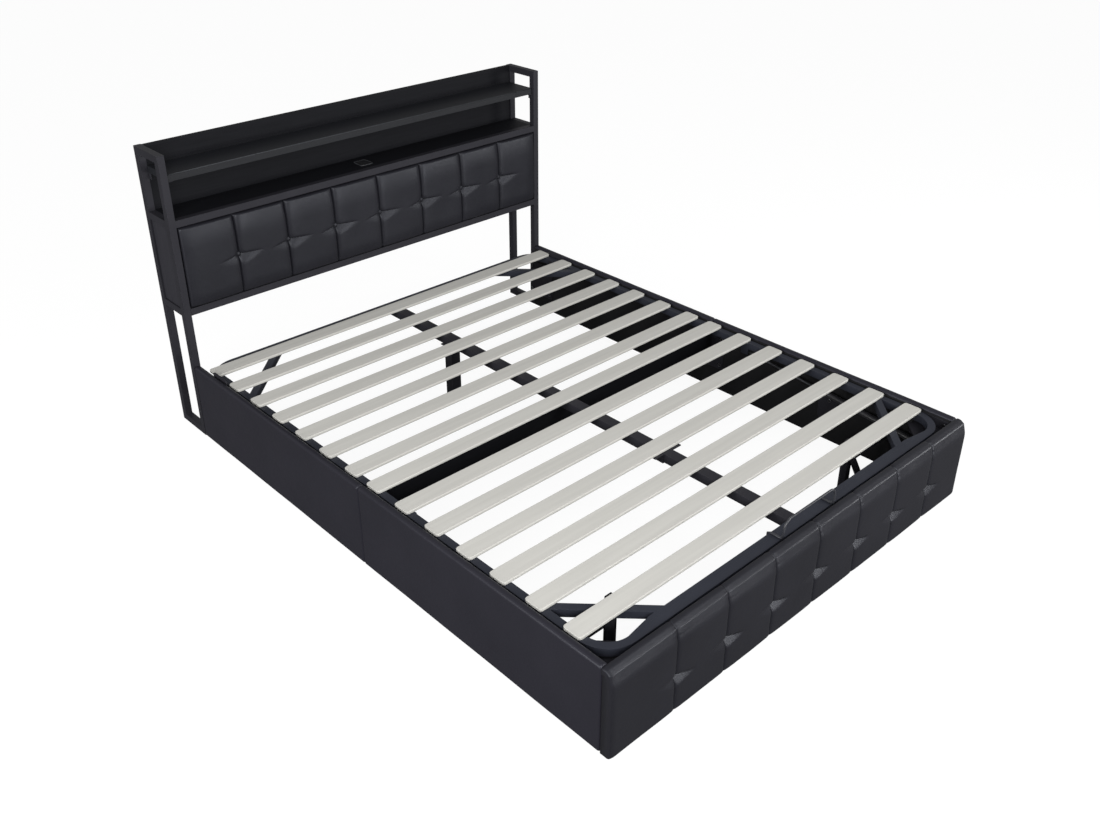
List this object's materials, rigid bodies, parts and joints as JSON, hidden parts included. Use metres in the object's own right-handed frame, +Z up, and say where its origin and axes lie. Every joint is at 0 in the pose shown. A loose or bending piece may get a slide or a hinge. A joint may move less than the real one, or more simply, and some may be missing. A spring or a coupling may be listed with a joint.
{
  "type": "upholstered storage bed",
  "caption": "Upholstered bed with a shelf headboard, a tufted pad, padded rails and a slatted platform that lifts at the foot on gas struts.",
  "frame": {"origin": "on the floor, in the middle of the bed's outline", "axes": "+X to the right seen from the foot, +Y towards the headboard, +Z up"},
  "size_m": [1.66, 2.2276, 1.051],
  "materials": {
    "slat_wood": "pale, lightly painted",
    "leather": "soft, low sheen",
    "laminate": "black laminate, satin",
    "core_board": "black lining, matt",
    "rubber": "matt",
    "module_plastic": "satin",
    "bolt_steel": "black oxide",
    "rod_steel": "ground",
    "cylinder_paint": "satin",
    "frame_steel": "matt powder coat"
  },
  "bodies": {
    "box": {"back_board": "laminate", "cabinet_floor": "laminate", "cabinet_sides": "laminate", "charging_module": "module_plastic", "corner_angles": "frame_steel", "cross_beam": "laminate", "floor_stands": "frame_steel", "footboard_board": "core_board", "footboard_pad": "leather", "headboard_buttons": "leather", "headboard_ladder_left": "frame_steel", "headboard_ladder_right": "frame_steel", "headboard_lower_rail": "frame_steel", "headboard_pad": "leather", "headboard_rear_rail": "frame_steel", "headboard_upper_rail": "frame_steel", "hinge_brackets": "frame_steel", "lower_shelf": "laminate", "pad_backing_board": "core_board", "rail_board_foot_left": "core_board", "rail_board_foot_right": "core_board", "rail_board_head_left": "core_board", "rail_board_head_right": "core_board", "rail_bolts": "bolt_steel", "rail_cover_foot_left": "leather", "rail_cover_foot_right": "leather", "rail_cover_head_left": "leather", "rail_cover_head_right": "leather", "rail_plates": "frame_steel", "rubber_rests": "rubber", "shelf_angles": "frame_steel", "strut_brackets": "frame_steel", "upper_shelf": "laminate"},
    "platform": {"platform_head_frame": "frame_steel", "platform_foot_frame": "frame_steel", "foot_stiffener": "frame_steel", "corner_braces": "frame_steel", "centre_rail": "frame_steel", "centre_saddle": "frame_steel", "centre_leg": "frame_steel", "mattress_stop": "frame_steel", "slat_01": "slat_wood", "slat_02": "slat_wood", "slat_03": "slat_wood", "slat_04": "slat_wood", "slat_05": "slat_wood", "slat_06": "slat_wood", "slat_07": "slat_wood", "slat_08": "slat_wood", "slat_09": "slat_wood", "slat_10": "slat_wood", "slat_11": "slat_wood", "slat_12": "slat_wood", "slat_13": "slat_wood", "slat_14": "slat_wood"},
    "cylinder_right": {"strut_cylinder_right": "cylinder_paint"},
    "cylinder_left": {"strut_cylinder_left": "cylinder_paint"},
    "rod_right": {"strut_rod_right": "rod_steel"},
    "rod_left": {"strut_rod_left": "rod_steel"}
  },
  "joints": [
    {"name": "platform_lift", "type": "hinge", "parent": "box", "child": "platform", "pos_m": [0, 0.804, 0.2585], "axis": [-1, 0, 0], "range_deg": [0, 30]},
    {"name": "right_strut_swing", "type": "hinge", "parent": "box", "child": "cylinder_right", "pos_m": [0.7825, -0.986, 0.16], "axis": [1, 0, 0], "range_deg": [0, 29.58]},
    {"name": "right_strut_stroke", "type": "slide", "parent": "cylinder_right", "child": "rod_right", "axis": [0, 0.9952, 0.0982], "range_m": [0, 0.31755]},
    {"name": "left_strut_swing", "type": "hinge", "parent": "box", "child": "cylinder_left", "pos_m": [-0.7825, -0.986, 0.16], "axis": [1, 0, 0], "range_deg": [0, 29.58]},
    {"name": "left_strut_stroke", "type": "slide", "parent": "cylinder_left", "child": "rod_left", "axis": [0, 0.9952, 0.0982], "range_m": [0, 0.31755]}
  ],
  "couplings": [
    {"joint": "right_strut_swing", "follows": "platform_lift", "ratio": 0.9852},
    {"joint": "right_strut_stroke", "follows": "platform_lift", "m_per_rad": 0.6059},
    {"joint": "left_strut_swing", "follows": "platform_lift", "ratio": 0.9852},
    {"joint": "left_strut_stroke", "follows": "platform_lift", "m_per_rad": 0.6059}
  ]
}
